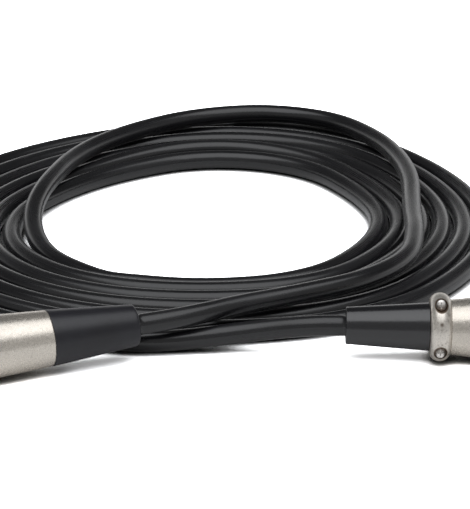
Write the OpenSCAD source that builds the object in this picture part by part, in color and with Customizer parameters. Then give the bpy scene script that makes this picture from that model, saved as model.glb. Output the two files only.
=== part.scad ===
/* [Cable] */
// Outer diameter of the cable's jacket
cable_d = 6.3; // [5.8:0.1:6.5]
// Gap left between one turn of the coil and the next
lay_gap = 1.1; // [0.9:0.1:2]
// Diameter of each insulated wire inside the jacket
wire_d = 1.5; // [1.2:0.1:1.7]

/* [Contacts] */
// Radius of the circle that the three contacts stand on
contact_circle_r = 4.76; // [4.6:0.02:4.9]
// Radius of the part of a pin that goes into a socket
pin_r = 1.18; // [1.1:0.02:1.2]
// Radius of a pin where the insert holds it
pin_shank_r = 1.5; // [1.45:0.05:1.55]
// Bore radius of a socket
socket_bore_r = 1.22; // [1.2:0.01:1.25]
// Outer radius of a socket and of a solder cup
socket_r = 1.55; // [1.5:0.05:1.6]
// Depth of a socket's bore
socket_depth = 14.2; // [12:0.1:15]
// Length of a solder cup
cup_len = 5.5; // [4.5:0.5:6]
// Bore radius of a solder cup
cup_bore_r = 1.0; // [0.9:0.05:1.1]

/* [Shared shell sizes] */
// Outer radius of both shells over their straight front part
shell_r = 9.5; // [9.3:0.1:9.8]
// Wall of the male shell round its mating cavity
shell_wall = 1.3; // [1.1:0.1:1.4]
// Radial clearance between pieces pushed into each other
fit = 0.05; // [0.04:0.01:0.08]
// Radial clearance between the jacket and what it runs through
cable_fit = 0.12; // [0.1:0.01:0.2]

/* [Male connector] */
// Length of the male boot outside the clamp
male_boot_len = 24.8; // [22:0.2:28]
// Outer radius of the male boot where the cable comes out
male_boot_tip_r = 5.55; // [5:0.05:6]
// Outer radius of the male boot at the clamp
male_boot_r = 7.2; // [7:0.1:8]
// Radius of the boot's neck inside the clamp
male_neck_r = 4.7; // [4.4:0.1:4.8]
// Width of the clamp along the cable
clamp_w = 6.1; // [5.8:0.1:6.6]
// Outer radius of the clamp at its crown
clamp_r = 10.2; // [10:0.1:10.8]
// How far the clamp's crown stands above its edges
clamp_crown = 1.9; // [0.8:0.1:2.2]
// Gap between the clamp's ring and its saddle
clamp_split = 0.8; // [0.6:0.1:1]
// Angle of the clamp screws above the horizontal
clamp_tilt = 14; // [0:1:30]
// Length of the male shell from the clamp to its rim
male_shell_len = 45; // [43:0.5:50]
// Outer radius of the male shell at the clamp
male_rear_r = 8.15; // [8.05:0.05:8.6]
// Length of the male shell's taper
male_taper_len = 11.4; // [9:0.2:13]
// Thickness of the male insert
male_insert_len = 10; // [8:0.5:11]
// Depth of the male cavity in front of the insert
male_cavity = 16; // [15:0.5:17]
// Distance from the pins' tips back to the male rim
pin_recess = 1.8; // [1.4:0.1:2.4]
// Where the cable leaves the male boot, in plan
male_exit = [35.4, -90.1];

/* [Female connector] */
// Length of the female boot outside the shell
female_boot_len = 26.7; // [23:0.1:28]
// Outer radius of the female boot where the cable comes out
female_boot_tip_r = 6.25; // [5.4:0.05:6.4]
// Outer radius of the female boot at the shell
female_boot_r = 8.45; // [7.8:0.05:8.5]
// Radius of the boot's neck inside the shell
female_neck_r = 6.95; // [6.8:0.05:7.1]
// Length of the boot's neck
female_neck_len = 7.5; // [6.5:0.5:8.5]
// Outer radius of the female shell at the boot
female_rear_r = 8.35; // [8.2:0.05:8.5]
// Length of the female shell from the boot to its shoulder
female_body_len = 45.5; // [44:0.5:50]
// Length of the female shell's taper
female_taper_len = 21; // [16:1:24]
// Outer radius of the nose that goes into a male shell
nose_r = 7.95; // [7.8:0.05:8]
// Length of the nose
nose_len = 15; // [14.5:0.1:15.5]
// Wall of the nose
nose_wall = 0.9; // [0.8:0.05:1]
// Length of the insert behind the shoulder
female_insert_rear = 13; // [12:0.5:14]
// Bearing of the female connector away from straight left
female_yaw = 19.7; // [0:0.1:25]
// Where the cable leaves the female boot
female_exit = [-26.8, -91.2, 11.17];

/* [Latch] */
// Width of the latch lever
latch_w = 3.5; // [3:0.1:3.5]
// Thickness of the latch lever
latch_t = 1.4; // [1.2:0.1:1.6]
// Height of the lever's underside above the connector's axis
latch_z = 4.95; // [4.9:0.05:5.1]
// Width of the push button
button_w = 7; // [6:0.2:7.6]
// Length of the push button
button_len = 7.4; // [6:0.2:8]
// How far the button stands out of the shell
button_out = 0.7; // [0.4:0.1:0.9]
// How far the hook stands out of the nose
hook_out = 0.8; // [0.5:0.1:1]
// Radius of the latch's pivot pin
latch_pin_r = 0.75; // [0.6:0.05:0.8]
// How far the latch turns when it is pressed
latch_turn = 3.2; // [2:0.1:3.6]
// Clearance round the latch in its slots
latch_gap = 0.4; // [0.3:0.05:0.5]

/* [Hidden] */

jacket_black = [0.07, 0.07, 0.08];
boot_black = [0.05, 0.05, 0.055];
nickel = [0.72, 0.7, 0.66];
steel = [0.6, 0.6, 0.6];
insert_black = [0.09, 0.09, 0.09];
contact_silver = [0.8, 0.79, 0.76];
wire_colours = [[0.75, 0.6, 0.45], [0.75, 0.1, 0.1], [0.85, 0.85, 0.85]];

cable_r = cable_d / 2;
wire_r = wire_d / 2;
bore_fn = 48;
edge_round = 0.5;

// ---- The coil: a flat spiral of six turns --------------------------------
// The spiral's centre on the floor
coil_c = [-7.3, 24.4];
// Radius of the spiral at every 30 degrees of bearing, before it grows
coil_shape = [55.5, 55, 49, 47, 47.5, 53.5, 52.5, 46, 45, 49.5, 54, 56.5];
// Growth of the radius with each turn
coil_pitch = cable_d + lay_gap;
// Turn count at which the spiral starts; whole turns lie at the front
coil_start = 0.9375;
coil_turns = 6;
coil_end = coil_start + coil_turns;
rings_per_loop = 24;
coil_sides = 6;
lead_sides = 10;
// Depth of the flat that the faceted cable stands on
flat = cable_d / 10;
// Small sideways shifts of a turn: where, how far out
coil_shifts = [
  [1.25, 1.5], [1.55, 1], [2.25, 1], [2.5, 0.8], [3.3, 0.5], [4.75, -0.5], [5, 1],
  [5.15, 0.5], [5.3, -0.5], [5.75, 1], [6.1, 1.5], [6.3, -1], [6.75, 1], [7, 2.5]
];
shift_span = 0.2;
// Small lifts of a turn off the floor: where, how high, over what span
coil_lifts = [
  [1.45, 0.4, 0.2], [2, 1.4, 0.3], [2.5, 2, 0.15], [3, 1.4, 0.3], [4, 1.3, 0.3],
  [4.4, 0.5, 0.2], [5, 1.1, 0.28], [6, 0.6, 0.25]
];

// The loop laid over the coil, from the female boot down to the spiral's start
lead_female_points = [
  [-9.8, -84.1, 11.5], [4.2, -75.1, 11.4], [22.2, -65.9, 11.4], [42.7, -52.6, 11.4],
  [56.2, -33.1, 11.2], [60.2, -10.1, 11], [60.7, 9.9, 10.3], [61.2, 27.9, 10], [61.7, 46.9, 10.2],
  [59.2, 67.9, 10.3], [52.2, 90.4, 10.3], [37.2, 111.9, 10.3], [13.2, 121.4, 10.2],
  [-12.3, 115.9, 10.1], [-32.3, 100.4, 10.2], [-45.8, 83.4, 10.3], [-53.8, 66.4, 10.4],
  [-58.3, 50.4, 10.5], [-61.8, 35.9, 9.9], [-63.8, 21.4, 8.2], [-62.8, 6.4, 5.8],
  [-58.3, -8.6, 4.2], [-51.3, -19.6, 3.6]
];
// The cable's run from the male boot down to the spiral's end
lead_male_points = [
  [20.2, -87.9, 9.3], [8.7, -85.1, 6.9], [-5.8, -83.9, 4.5], [-19.8, -84.4, 3.3],
  [-31.8, -83.4, 3.1]
];

function total(v) = v * [for (x = v) 1];
function unit(v) = v / norm(v);
function bump(x, span) = abs(x) < span ? 0.5 + 0.5 * cos(180 * x / span) : 0;
// Catmull-Rom blend of four values
function blend(a, b, c, d, f) =
  b + 0.5 * f * (c - a + f * (2 * a - 5 * b + 4 * c - d + f * (3 * (b - c) + d - a)));
function shape_r(t) =
  let (n = len(coil_shape), u = n * (t - floor(t)), i = floor(u))
  blend(
    coil_shape[(i + n - 1) % n], coil_shape[i], coil_shape[(i + 1) % n],
    coil_shape[(i + 2) % n], u - i
  );
function coil_r(t) =
  shape_r(t) + coil_pitch * t + total([for (s = coil_shifts) s[1] * bump(t - s[0], shift_span)]);
function coil_z(t) =
  cable_r - flat + total([for (s = coil_lifts) s[1] * bump(t - s[0], s[2])]);
function coil_at(t) = [
  coil_c.x + coil_r(t) * sin(360 * t), coil_c.y - coil_r(t) * cos(360 * t), coil_z(t)
];
function coil_dir(t) = unit(coil_at(t + 0.001) - coil_at(t - 0.001));

coil_from = coil_at(coil_start) - cable_d * coil_dir(coil_start);
coil_to = coil_at(coil_end) + cable_d * coil_dir(coil_end);
coil_points = concat(
  [coil_from],
  [for (i = [0:rings_per_loop * coil_turns]) coil_at(coil_start + i / rings_per_loop)],
  [coil_to]
);

// ---- A swept tube ---------------------------------------------------------
function curve(p, steps) = concat(
  [p[0]],
  [
    for (i = [1:len(p) - 3], k = [0:steps - 1])
      blend(p[i - 1], p[i], p[i + 1], p[min(i + 2, len(p) - 1)], k / steps)
  ],
  [p[len(p) - 2], p[len(p) - 1]]
);
// A ring of points square to the tube, none of them lower than low
function ring_at(p, dir, r, n, low) =
  let (side = unit(cross(dir, [0, 0, 1])), up = cross(side, dir))
  [
    for (i = [0:n - 1])
      let (q = p + r * (cos(360 * i / n) * side + sin(360 * i / n) * up))
      [q.x, q.y, max(q.z, low)]
  ];
module tube(p, first, last, r, n, low = 0) {
  m = len(p);
  dirs = [
    for (i = [0:m - 1])
      i == 0 ? first : (i == m - 1 ? last : unit(p[i + 1] - p[i - 1]))
  ];
  verts = [for (i = [0:m - 1]) each ring_at(p[i], dirs[i], r, n, low)];
  sides = [
    for (i = [0:m - 2], k = [0:n - 1])
      let (a = i * n + k, b = i * n + (k + 1) % n)
      each [[a, b, a + n], [b, b + n, a + n]]
  ];
  caps = [
    for (k = [1:n - 2])
      each [[0, k + 1, k], [(m - 1) * n, (m - 1) * n + k, (m - 1) * n + k + 1]]
  ];
  polyhedron(verts, concat(sides, caps), convexity = 12);
}

// ---- Stations along each connector, from the cable's exit to the nose ------
clamp_s = male_boot_len + clamp_w / 2;
male_shell_s = male_boot_len + clamp_w;
male_len = male_shell_s + male_shell_len;
male_face_s = male_len - male_cavity;
male_insert_s = male_face_s - male_insert_len;
male_bore_r = shell_r - shell_wall;
spigot_len = 3;
spigot_wall = 1.2;
male_rear_bore_r = male_rear_r - spigot_wall;
boot_flange_len = 2;
male_neck_end = male_shell_s + spigot_len + boot_flange_len;
male_cable_end_s = male_neck_end + 2;
male_pitch = asin((clamp_r - shell_r) / (male_len - clamp_s));
male_exit_z = clamp_r * cos(male_pitch) + clamp_s * sin(male_pitch);

female_shell_s = female_boot_len;
shoulder_s = female_shell_s + female_body_len;
female_len = shoulder_s + nose_len;
female_insert_s = shoulder_s - female_insert_rear;
face_recess = 0.4;
female_face_s = female_len - face_recess;
nose_bore_r = nose_r - nose_wall;
female_bore_r = shell_r - 1.25;
female_rear_bore_r = female_neck_r + fit;
female_neck_end = female_shell_s + female_neck_len;
chuck_len = 13.5;
chuck_s = female_neck_end - 3;
chuck_r = female_neck_r - 0.1;
female_cable_end_s = chuck_s + chuck_len + 3.5;
female_pitch = asin((female_exit.z - shell_r) / shoulder_s);

socket_front_s = female_face_s - face_recess;
screw_r = 1.25;
insert_screw_len = 3.4;
male_screw_s = male_insert_s + male_insert_len / 2;
female_screw_from_back = 8.5;
female_screw_s = female_insert_s + female_screw_from_back;

// The latch's stations
latch_pivot_s = female_insert_s + 2;
latch_pivot_z = latch_z + latch_t;
latch_eye_r = latch_pin_r + 0.95;
button_s = shoulder_s - 1.5 - button_len;
hook_s = shoulder_s + 8;
hook_len = 3;
// Pocket in the male shell for the hook: room at its sides, and where it starts
hook_room = 0.3;
hook_pocket_s = male_len - hook_len - 8.4;
latch_front_s = hook_s + hook_len + 1.5;
latch_drop = (latch_front_s - latch_pivot_s) * sin(latch_turn);
latch_slot_z = latch_z - latch_drop - 0.2;
latch_pin_len = 8;
spring_r = 1.4;
spring_wall = 0.4;
spring_s = latch_pivot_s + 5;
spring_foot_z = 1;

// Where each contact stands: 1 and 2 above, 3 below
contacts = [for (a = [45, 135, 270]) contact_circle_r * [cos(a), sin(a)]];

module male_place()
  translate([male_exit.x, male_exit.y, male_exit_z]) rotate([0, male_pitch, 0]) children();
module female_place()
  translate(female_exit) rotate([0, female_pitch, 180 + female_yaw]) children();
// A turned piece about the connector's axis, from points of station and radius
module turned(p) rotate([90, 0, 90]) rotate_extrude($fn = bore_fn) polygon([for (q = p) [q[1], q[0]]]);
module rod(s0, s1, r, fn = bore_fn) translate([s0, 0, 0]) rotate([0, 90, 0]) cylinder(h = s1 - s0, r = r, $fn = fn);
module at_contact(i) translate([0, contacts[i][0], contacts[i][1]]) children();

male_dir = [cos(male_pitch), 0, -sin(male_pitch)];
female_dir = [
  -cos(female_yaw) * cos(female_pitch), -sin(female_yaw) * cos(female_pitch), -sin(female_pitch)
];
male_exit_p = [male_exit.x, male_exit.y, male_exit_z];
lead_female = curve(
  concat([female_exit, female_exit - cable_d * female_dir], lead_female_points, [coil_from]), 2
);
lead_male = curve(
  concat([male_exit_p, male_exit_p - cable_d * male_dir], lead_male_points, [coil_to]), 2
);

// ---- Least gaps, measured between points on the centre lines ---------------
fine = 72;
coil_fine = [for (i = [0:fine * coil_turns]) coil_at(coil_start + i / fine)];
function least(a, b, skip) = min([
  for (i = [0:len(a) - 1], j = [0:len(b) - 1])
    if (skip == 0 || j > i + skip) norm(a[i] - b[j])
]);
function refine(p, k) = [
  for (i = [0:len(p) - 2], j = [0:k - 1]) p[i] + (p[i + 1] - p[i]) * j / k
];
echo(least_gap_of_the_coil_to_itself = least(coil_fine, coil_fine, fine / 2) - cable_d);  // cable_coil
echo(least_gap_of_the_loop_to_the_coil = least(  // cable_lead_female
    [for (q = refine(lead_female, 3)) if (norm(q - coil_from) > 3 * cable_d) q], coil_fine, 0
  ) - cable_d);
echo(  // cable_lead_male
    least_gap_of_the_male_lead_to_the_coil = least(
      refine(lead_male, 3), [for (q = coil_fine) if (norm(q - coil_to) > 3 * cable_d) q], 0
    ) - cable_d,
    least_gap_of_the_male_lead_to_the_loop = least(refine(lead_male, 3), refine(lead_female, 3), 0) - cable_d
  );

// ---- Cable -----------------------------------------------------------------
module cable_coil()
  color(jacket_black)
    tube(coil_points, coil_dir(coil_start), coil_dir(coil_end), cable_r, coil_sides);
module cable_lead_female()
  color(jacket_black)
    tube(lead_female, -female_dir, coil_dir(coil_start), cable_r, lead_sides);
module cable_lead_male()
  color(jacket_black)
    tube(lead_male, -male_dir, -coil_dir(coil_end), cable_r, lead_sides);

// ---- Pieces that both connectors have ----------------------------------------
// A wire from the cable's end into solder cup i
module core_wire(i, from_s, cup_s) {
  gather = 0.36;
  wire_sides = 8;
  c = contacts[i];
  along = [1, 0, 0];
  points = [
    [from_s, gather * c[0], gather * c[1]],
    [from_s + 1.5, gather * c[0], gather * c[1]],
    [cup_s - 1, c[0], c[1]],
    [cup_s + cup_len - 2, c[0], c[1]]
  ];
  tube(curve(points, 4), along, along, wire_r, wire_sides, -shell_r);
}
// The cup is cut open on the side that faces away from the axis
module solder_cup(i, s0) at_contact(i) difference() {
  rod(s0, s0 + cup_len, socket_r, 32);
  rod(s0 - 1, s0 + cup_len - 1.5, cup_bore_r, 32);
  rotate([atan2(contacts[i][1], contacts[i][0]), 0, 0])
    translate([s0 - 1, socket_r * 0.55, -socket_r]) cube([cup_len - 1, socket_r, 2 * socket_r]);
}
module insert_screw(s, r_out, side) {
  slot_w = 0.5;
  translate([s, side * r_out, 0]) rotate([90 * side, 0, 0]) difference() {
    cylinder(h = insert_screw_len, r = screw_r, $fn = bore_fn);
    translate([-screw_r, -slot_w / 2, -1]) cube([2 * screw_r, slot_w, 1.7]);
  }
}
module insert_screw_hole(s, side)
  translate([s, side * (shell_r + 1), 0]) rotate([90 * side, 0, 0])
    cylinder(h = shell_r + 1 - male_bore_r + insert_screw_len, r = screw_r + fit, $fn = bore_fn);

// ---- Male connector ------------------------------------------------------------
module male_shell() color(nickel) male_place() difference() {
  turned([
    [male_shell_s, male_rear_bore_r], [male_shell_s, male_rear_r],
    [male_shell_s + male_taper_len, shell_r], [male_len - edge_round, shell_r],
    [male_len, shell_r - edge_round], [male_len, male_bore_r],
    [male_insert_s - 4, male_bore_r], [male_shell_s + spigot_len + 0.5, male_rear_bore_r]
  ]);
  insert_screw_hole(male_screw_s, 1);
  // Pocket that the female latch's hook drops into
  translate([hook_pocket_s, -latch_w / 2 - hook_room, 0])
    cube([hook_len + 0.8, latch_w + 2 * hook_room, male_bore_r + hook_out]);
}
module male_insert() color(insert_black) male_place() difference() {
  rod(male_insert_s, male_face_s, male_bore_r - fit);
  for (i = [0:2]) at_contact(i) rod(male_insert_s - 1, male_face_s + 1, pin_shank_r + fit, 32);
  insert_screw_hole(male_screw_s, 1);
}
module male_pin(i) color(contact_silver) male_place() {
  tip_s = male_len - pin_recess;
  solder_cup(i, male_insert_s - cup_len);
  at_contact(i) {
    rod(male_insert_s - 0.01, male_face_s, pin_shank_r, 32);
    rod(male_face_s, tip_s - pin_r, pin_r);
    translate([tip_s - pin_r, 0, 0]) sphere(r = pin_r, $fn = bore_fn);
  }
}
module male_insert_screw() color(steel) male_place() insert_screw(male_screw_s, shell_r - 0.4, 1);

// The clamp: a bead turned round the cable, split across the screws
clamp_screw_w = 7;
clamp_hole_r = screw_r + 0.1;
clamp_head_r = 1.6;
clamp_recess_r = 1.75;
clamp_seat = 4;
clamp_head_h = 1.8;
clamp_screw_depth = 5;
clamp_bore_r = male_neck_r + fit;
clamp_bead_r = (clamp_w * clamp_w / 4 + clamp_crown * clamp_crown) / (2 * clamp_crown);
module clamp_frame() male_place() rotate([-clamp_tilt, 0, 0]) children();
module clamp_body() {
  rotate([0, 90, 0]) translate([0, 0, clamp_s]) rotate_extrude($fn = 64) intersection() {
    translate([clamp_bore_r, -clamp_w / 2]) square([clamp_r - clamp_bore_r, clamp_w]);
    translate([clamp_r - clamp_bead_r, 0]) circle(r = clamp_bead_r, $fn = 64);
  }
  turned([
    [male_shell_s - 0.01, clamp_bore_r], [male_shell_s - 0.01, male_rear_bore_r - fit],
    [male_shell_s + spigot_len, male_rear_bore_r - fit], [male_shell_s + spigot_len, clamp_bore_r]
  ]);
}
module clamp_side(front) {
  big = 2 * clamp_r;
  translate([male_boot_len - 1, front ? -big - clamp_split / 2 : clamp_split / 2, -big])
    cube([clamp_w + spigot_len + 2, big, 2 * big]);
}
module at_clamp_screws()
  for (w = [-1, 1]) translate([clamp_s, 0, w * clamp_screw_w]) rotate([90, 0, 0]) children();
module male_clamp_ring() color(nickel) clamp_frame() difference() {
  intersection() {
    clamp_body();
    clamp_side(false);
  }
  at_clamp_screws() translate([0, 0, -clamp_screw_depth - 0.5])
    cylinder(h = clamp_screw_depth + 1, r = screw_r + fit, $fn = bore_fn);
}
module male_clamp_saddle() color(nickel) clamp_frame() difference() {
  intersection() {
    clamp_body();
    clamp_side(true);
  }
  at_clamp_screws() {
    translate([0, 0, -1]) cylinder(h = clamp_r, r = clamp_hole_r, $fn = bore_fn);
    translate([0, 0, clamp_seat]) cylinder(h = clamp_r, r = clamp_recess_r, $fn = bore_fn);
  }
  // Small dimple in the middle of the saddle
  translate([clamp_s, -clamp_r + 0.35, 0]) rotate([90, 0, 0]) cylinder(h = 1, r = 0.45, $fn = 24);
}
module male_clamp_screws() color(steel) clamp_frame() at_clamp_screws() difference() {
  union() {
    translate([0, 0, -clamp_screw_depth])
      cylinder(h = clamp_screw_depth + clamp_seat + 0.01, r = screw_r, $fn = bore_fn);
    translate([0, 0, clamp_seat]) cylinder(h = clamp_head_h, r = clamp_head_r, $fn = bore_fn);
  }
  for (a = [0, 90]) rotate([0, 0, a])
    translate([-1, -0.2, clamp_seat + clamp_head_h - 0.7]) cube([2, 0.4, 1]);
}
module male_boot() color(boot_black) male_place() difference() {
  turned([
    [0, 0], [0, male_boot_tip_r - edge_round / 2], [edge_round / 2, male_boot_tip_r],
    [male_boot_len - edge_round, male_boot_r - edge_round / 10],
    [male_boot_len, male_boot_r - edge_round], [male_boot_len, male_neck_r],
    [male_shell_s + spigot_len, male_neck_r],
    [male_shell_s + spigot_len, male_neck_r + 1.5], [male_neck_end, male_neck_r + 1.5],
    [male_neck_end, 0]
  ]);
  rod(-1, male_neck_end + 1, cable_r + cable_fit);
}
module male_cable_end() color(jacket_black) male_place() rod(0, male_cable_end_s, cable_r);
module male_wire(i)
  color(wire_colours[i]) male_place() core_wire(i, male_cable_end_s, male_insert_s - cup_len);

// ---- Female connector ------------------------------------------------------------
button_top = shell_r + button_out;
module female_shell() color(nickel) female_place() difference() {
  turned([
    [female_shell_s, female_rear_bore_r], [female_shell_s, female_rear_r - 0.15],
    [female_shell_s + 0.3, female_rear_r],
    [female_shell_s + female_taper_len, shell_r], [shoulder_s - edge_round, shell_r],
    [shoulder_s, shell_r - edge_round], [shoulder_s, nose_r],
    [female_len - 0.3, nose_r], [female_len, nose_r - 0.3], [female_len, nose_bore_r],
    [shoulder_s - 1.2, nose_bore_r], [shoulder_s - 1.2, female_bore_r],
    [female_insert_s - 6, female_bore_r], [female_neck_end + 0.5, female_rear_bore_r]
  ]);
  translate([button_s - latch_gap, -button_w / 2 - latch_gap, nose_bore_r - 3])
    cube([button_len + 2 * latch_gap, button_w + 2 * latch_gap, shell_r]);
  translate([hook_s - latch_gap, -latch_w / 2 - latch_gap, nose_bore_r - 2])
    cube([hook_len + 2 * latch_gap, latch_w + 2 * latch_gap, shell_r]);
  insert_screw_hole(female_screw_s, -1);
}
module latch_profile() {
  translate([latch_pivot_s, latch_z]) square([latch_front_s - latch_pivot_s, latch_t]);
  translate([hook_s, latch_z]) polygon([
    [0, 0], [0, nose_r + hook_out - latch_z], [hook_len * 0.4, nose_r + hook_out - latch_z],
    [hook_len, nose_r - latch_z - 0.4], [hook_len, 0]
  ]);
}
module female_latch() color(nickel) female_place() difference() {
  union() {
    translate([0, latch_w / 2, 0]) rotate([90, 0, 0]) linear_extrude(latch_w) latch_profile();
    translate([latch_pivot_s, 0, latch_pivot_z]) rotate([90, 0, 0])
      cylinder(h = latch_w, r = latch_eye_r, center = true, $fn = bore_fn);
    translate([button_s, -button_w / 2, latch_z + latch_t - 0.01]) intersection() {
      cube([button_len, button_w, button_top - latch_z - latch_t]);
      // The button's top follows the round of the shell
      translate([-button_s, button_w / 2, -latch_z - latch_t])
        rod(button_s - 1, button_s + button_len + 1, button_top, 96);
    }
  }
  translate([latch_pivot_s, 0, latch_pivot_z]) rotate([90, 0, 0])
    cylinder(h = 2 * latch_w, r = latch_pin_r + fit, center = true, $fn = bore_fn);
}
module female_latch_pin() color(steel) female_place()
  translate([latch_pivot_s, 0, latch_pivot_z]) rotate([90, 0, 0])
    cylinder(h = latch_pin_len, r = latch_pin_r, center = true, $fn = bore_fn);
module female_latch_spring() color(steel) female_place() translate([spring_s, 0, spring_foot_z])
  difference() {
    cylinder(h = latch_z - spring_foot_z, r = spring_r, $fn = bore_fn);
    translate([0, 0, -1])
      cylinder(h = latch_z, r = spring_r - spring_wall, $fn = bore_fn);
    translate([0, 0, latch_z / 2])
      cylinder(h = latch_z, r = spring_r - spring_wall, $fn = bore_fn);
  }
module female_insert() color(insert_black) female_place() difference() {
  union() {
    rod(female_insert_s, shoulder_s - 1.2, female_bore_r - fit);
    rod(shoulder_s - 1.21, female_face_s, nose_bore_r - fit);
  }
  for (i = [0:2]) at_contact(i) {
    rod(female_insert_s - 1, socket_front_s, socket_r + fit, 32);
    // Lead-in that centres a pin on the socket's bore
    translate([socket_front_s - 0.01, 0, 0]) rotate([0, 90, 0])
      cylinder(h = face_recess + 0.02, r1 = socket_bore_r + fit, r2 = socket_r, $fn = bore_fn);
  }
  // The lever's slot, the button's recess, the spring's pocket and the pivot's bore
  translate([female_insert_s - 1, -latch_w / 2 - latch_gap, latch_slot_z])
    cube([latch_front_s + latch_gap - female_insert_s + 1, latch_w + 2 * latch_gap, shell_r]);
  translate([button_s - latch_gap, -button_w / 2 - latch_gap, latch_z + latch_t - 0.9])
    cube([shoulder_s, button_w + 2 * latch_gap, shell_r]);
  translate([spring_s, 0, spring_foot_z]) cylinder(h = shell_r, r = spring_r + fit, $fn = bore_fn);
  translate([latch_pivot_s, 0, latch_pivot_z]) rotate([90, 0, 0])
    cylinder(h = latch_pin_len + 2 * fit, r = latch_pin_r + fit / 2, center = true, $fn = bore_fn);
  insert_screw_hole(female_screw_s, -1);
}
module female_socket(i) color(contact_silver) female_place() {
  solder_cup(i, female_insert_s - cup_len);
  at_contact(i) difference() {
    rod(female_insert_s - 0.01, socket_front_s, socket_r, 32);
    rod(socket_front_s - socket_depth, socket_front_s + 1, socket_bore_r);
  }
}
module female_insert_screw()
  color(steel) female_place() insert_screw(female_screw_s, shell_r - 0.4, -1);
module female_chuck() color(insert_black) female_place() difference() {
  turned([
    [chuck_s, 0], [chuck_s, chuck_r - 2.6], [chuck_s + 2.6, chuck_r],
    [chuck_s + chuck_len, chuck_r], [chuck_s + chuck_len, 0]
  ]);
  rod(chuck_s - 1, chuck_s + chuck_len + 1, cable_r + cable_fit);
  for (a = [45, 135]) rotate([a, 0, 0])
    translate([chuck_s - 1, -chuck_r - 1, -0.4]) cube([chuck_len - 3, 2 * chuck_r + 2, 0.8]);
}
module female_boot() color(boot_black) female_place() difference() {
  turned([
    [0, 0], [0, female_boot_tip_r - 1], [0.3, female_boot_tip_r - 0.3],
    [1, female_boot_tip_r], [female_boot_len, female_boot_r],
    [female_boot_len, female_neck_r], [female_neck_end, female_neck_r], [female_neck_end, 0]
  ]);
  rod(-1, female_neck_end + 1, cable_r + cable_fit);
  // The cone that closes the chuck on the cable
  turned([
    [chuck_s - 0.1, 0], [chuck_s - 0.1, chuck_r - 2.5], [female_neck_end + 0.1, chuck_r + 0.7],
    [female_neck_end + 1, 0]
  ]);
}
module female_cable_end() color(jacket_black) female_place() rod(0, female_cable_end_s, cable_r);
module female_wire(i)
  color(wire_colours[i]) female_place() core_wire(i, female_cable_end_s, female_insert_s - cup_len);

cable_coil();
cable_lead_female();
cable_lead_male();
male_shell();
male_insert();
male_pin(0);  // male_pin_1
male_pin(1);  // male_pin_2
male_pin(2);  // male_pin_3
male_insert_screw();
male_clamp_ring();
male_clamp_saddle();
male_clamp_screws();
male_boot();
male_cable_end();
male_wire(0);  // male_wire_shield
male_wire(1);  // male_wire_hot
male_wire(2);  // male_wire_cold
female_shell();
female_insert();
female_socket(0);  // female_socket_1
female_socket(1);  // female_socket_2
female_socket(2);  // female_socket_3
female_insert_screw();
female_latch();
female_latch_pin();
female_latch_spring();
female_chuck();
female_boot();
female_cable_end();
female_wire(0);  // female_wire_shield
female_wire(1);  // female_wire_hot
female_wire(2);  // female_wire_cold
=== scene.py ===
"""Coiled microphone cable with a three-pin connector on each end.

The jacket, boots, shells, clamp and inserts are surfaces worked out with numpy around the
fixed frame of solids. Lengths in the tables below are millimetres, and the meshes are metres.
"""
import math

import bmesh
import bpy
import numpy as np
from bpy.props import FloatProperty, FloatVectorProperty, IntProperty, PointerProperty
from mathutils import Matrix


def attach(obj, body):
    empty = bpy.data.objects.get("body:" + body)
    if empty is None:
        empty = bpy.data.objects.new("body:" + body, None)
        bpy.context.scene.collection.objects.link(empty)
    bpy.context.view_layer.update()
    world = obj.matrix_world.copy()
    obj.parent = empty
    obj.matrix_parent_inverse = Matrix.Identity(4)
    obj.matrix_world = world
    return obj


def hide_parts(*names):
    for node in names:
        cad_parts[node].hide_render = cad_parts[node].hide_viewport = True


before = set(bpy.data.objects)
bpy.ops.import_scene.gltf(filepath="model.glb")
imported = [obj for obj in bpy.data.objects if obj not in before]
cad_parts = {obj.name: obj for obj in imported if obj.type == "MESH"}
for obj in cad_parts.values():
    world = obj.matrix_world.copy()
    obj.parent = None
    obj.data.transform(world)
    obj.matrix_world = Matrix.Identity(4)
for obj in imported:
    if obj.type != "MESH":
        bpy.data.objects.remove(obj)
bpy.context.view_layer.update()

bl_info = {
    "name": "Coiled Microphone Cable",
    "version": (1, 0, 0),
    "blender": (4, 5, 0),
    "location": "3D View > Sidebar > Cable",
    "description": "Builds a coiled microphone cable with its two connectors",
    "category": "Add Mesh",
}

MM = 0.001
IMAGE_SIZE = (470, 509)


# ---- Sizes and colours a user may change ------------------------------------------------


def length(name, description, default, **more):
    """A size in metres, shown in the scene's own units."""
    return FloatProperty(
        name=name, description=description, default=default, unit="LENGTH", precision=5, **more
    )


def colour(name, description, default):
    """A linear colour."""
    return FloatVectorProperty(
        name=name, description=description, default=default, subtype="COLOR",
        size=3, min=0.0, max=1.0,
    )


def share(name, description, default):
    """A number from 0 to 1."""
    return FloatProperty(
        name=name, description=description, default=default, subtype="FACTOR", min=0.0, max=1.0
    )


class CableSizes(bpy.types.PropertyGroup):
    """Sizes of the jacket and of its lay."""

    diameter: length("Diameter", "Outer diameter of the jacket", 0.0063)
    lay_gap: length("Lay gap", "Gap between one turn of the coil and the next", 0.0011)
    step: length("Ring spacing", "Distance between the rings of the jacket's mesh", 0.0020)
    sides: IntProperty(
        name="Sides", description="Number of points round the jacket", default=28, min=12
    )


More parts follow.
